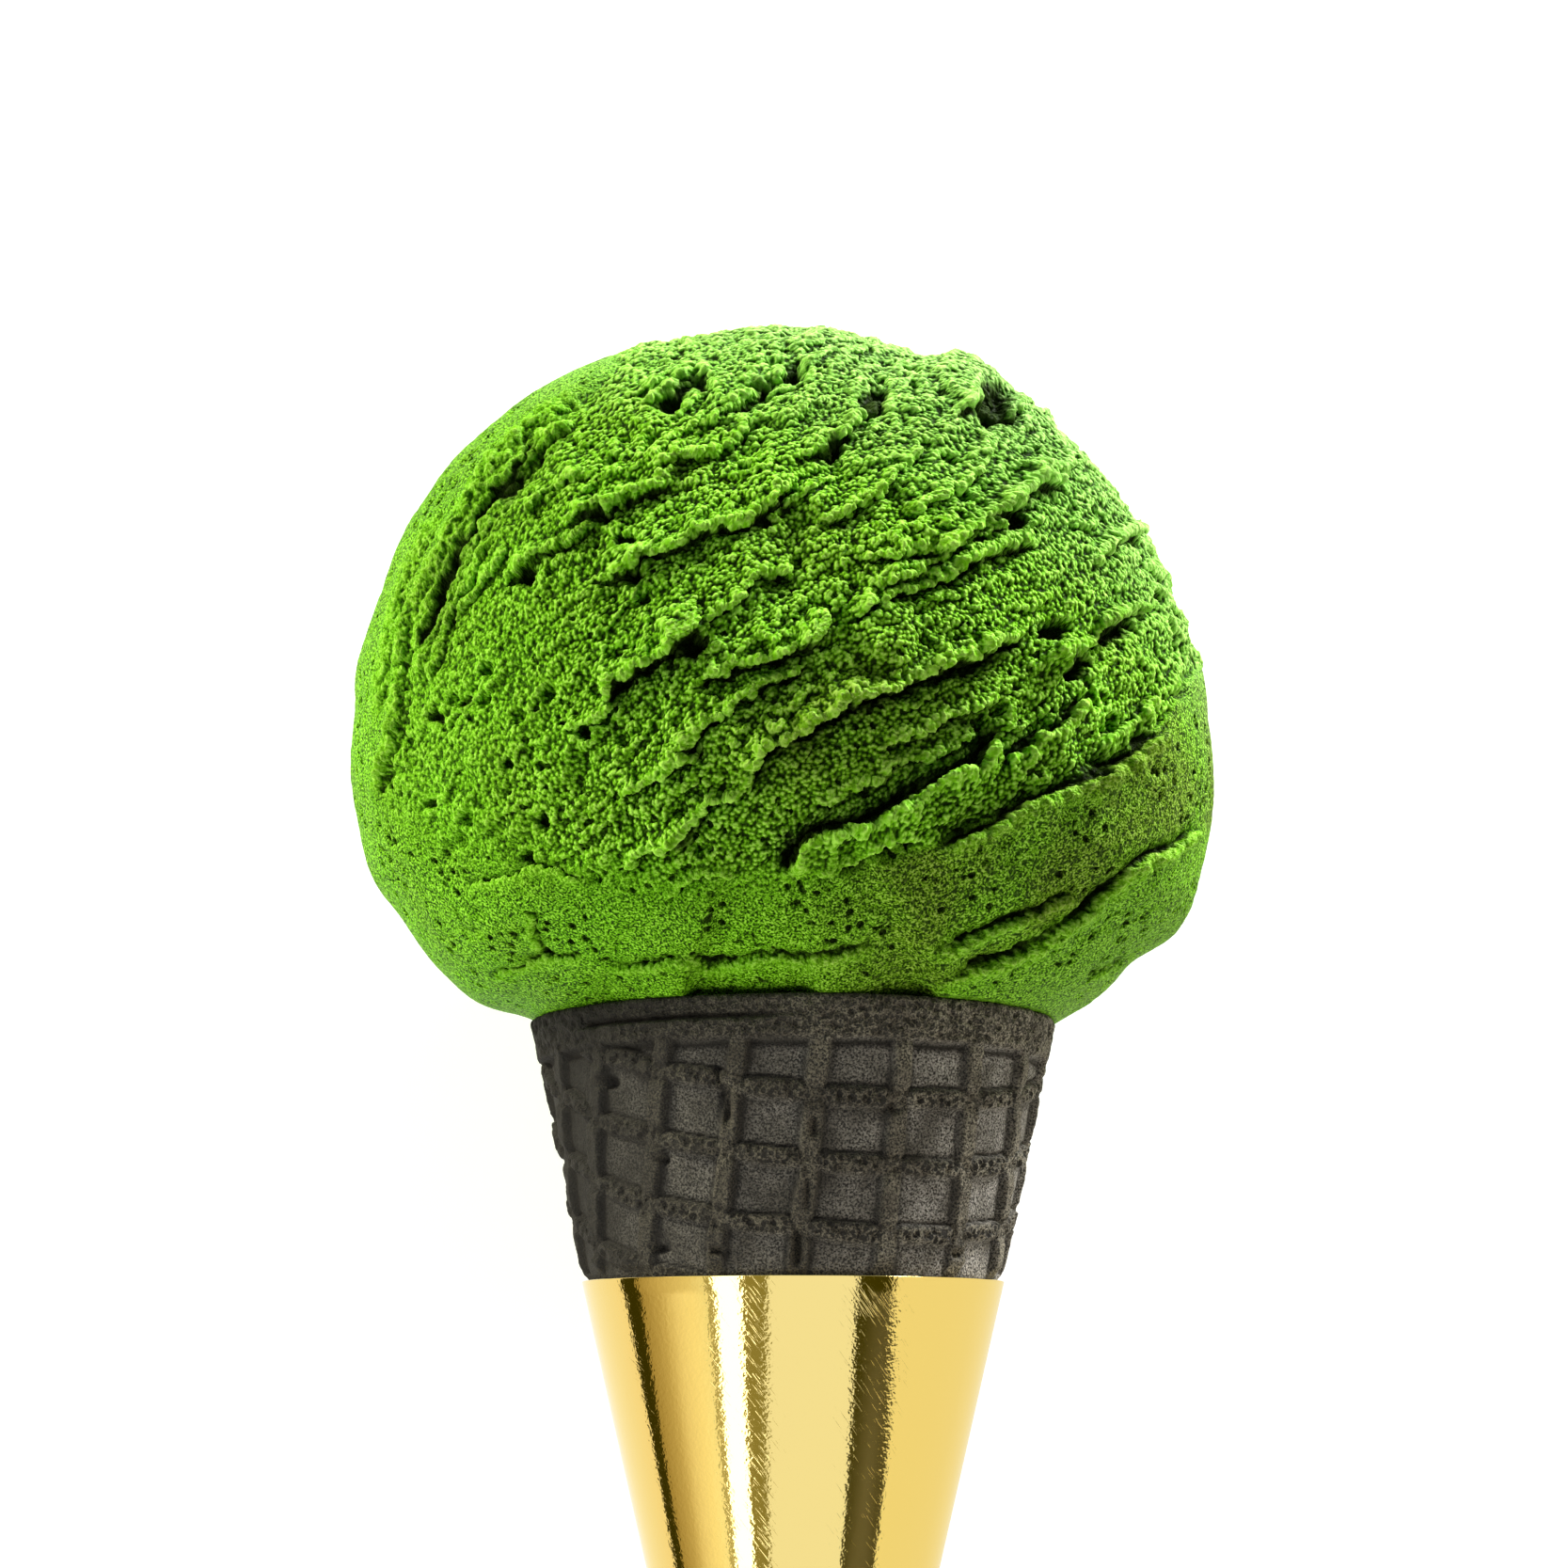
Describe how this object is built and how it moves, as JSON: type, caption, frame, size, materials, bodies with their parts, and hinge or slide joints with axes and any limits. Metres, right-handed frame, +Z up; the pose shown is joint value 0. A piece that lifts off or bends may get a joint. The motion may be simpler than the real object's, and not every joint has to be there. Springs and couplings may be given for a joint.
{
  "type": "matcha gelato cone",
  "caption": "Scoop of green matcha gelato in a dark rolled waffle cone with a gold paper sleeve, lying on its back.",
  "frame": {"origin": "middle of the flat spot under the back of the scoop, on the surface that it lies on", "axes": "+Y from the sleeve's tip towards the scoop's crown, +Z up through the shown side, +X to the viewer's right looking down on it"},
  "size_m": [0.0769, 0.154, 0.0714],
  "materials": {
    "gelato": "frozen matcha gelato, bright green, grainy where torn and smoother where pressed, slightly moist",
    "wafer": "baked charcoal waffle, warm dark grey, matt, with a pressed grid and fine pores",
    "foil_paper": "paper laminated with bright gold foil, lightly brushed"
  },
  "bodies": {
    "root": {"gelato": "gelato", "waffle_cone": "wafer", "foil_sleeve": "foil_paper"}
  },
  "joints": []
}
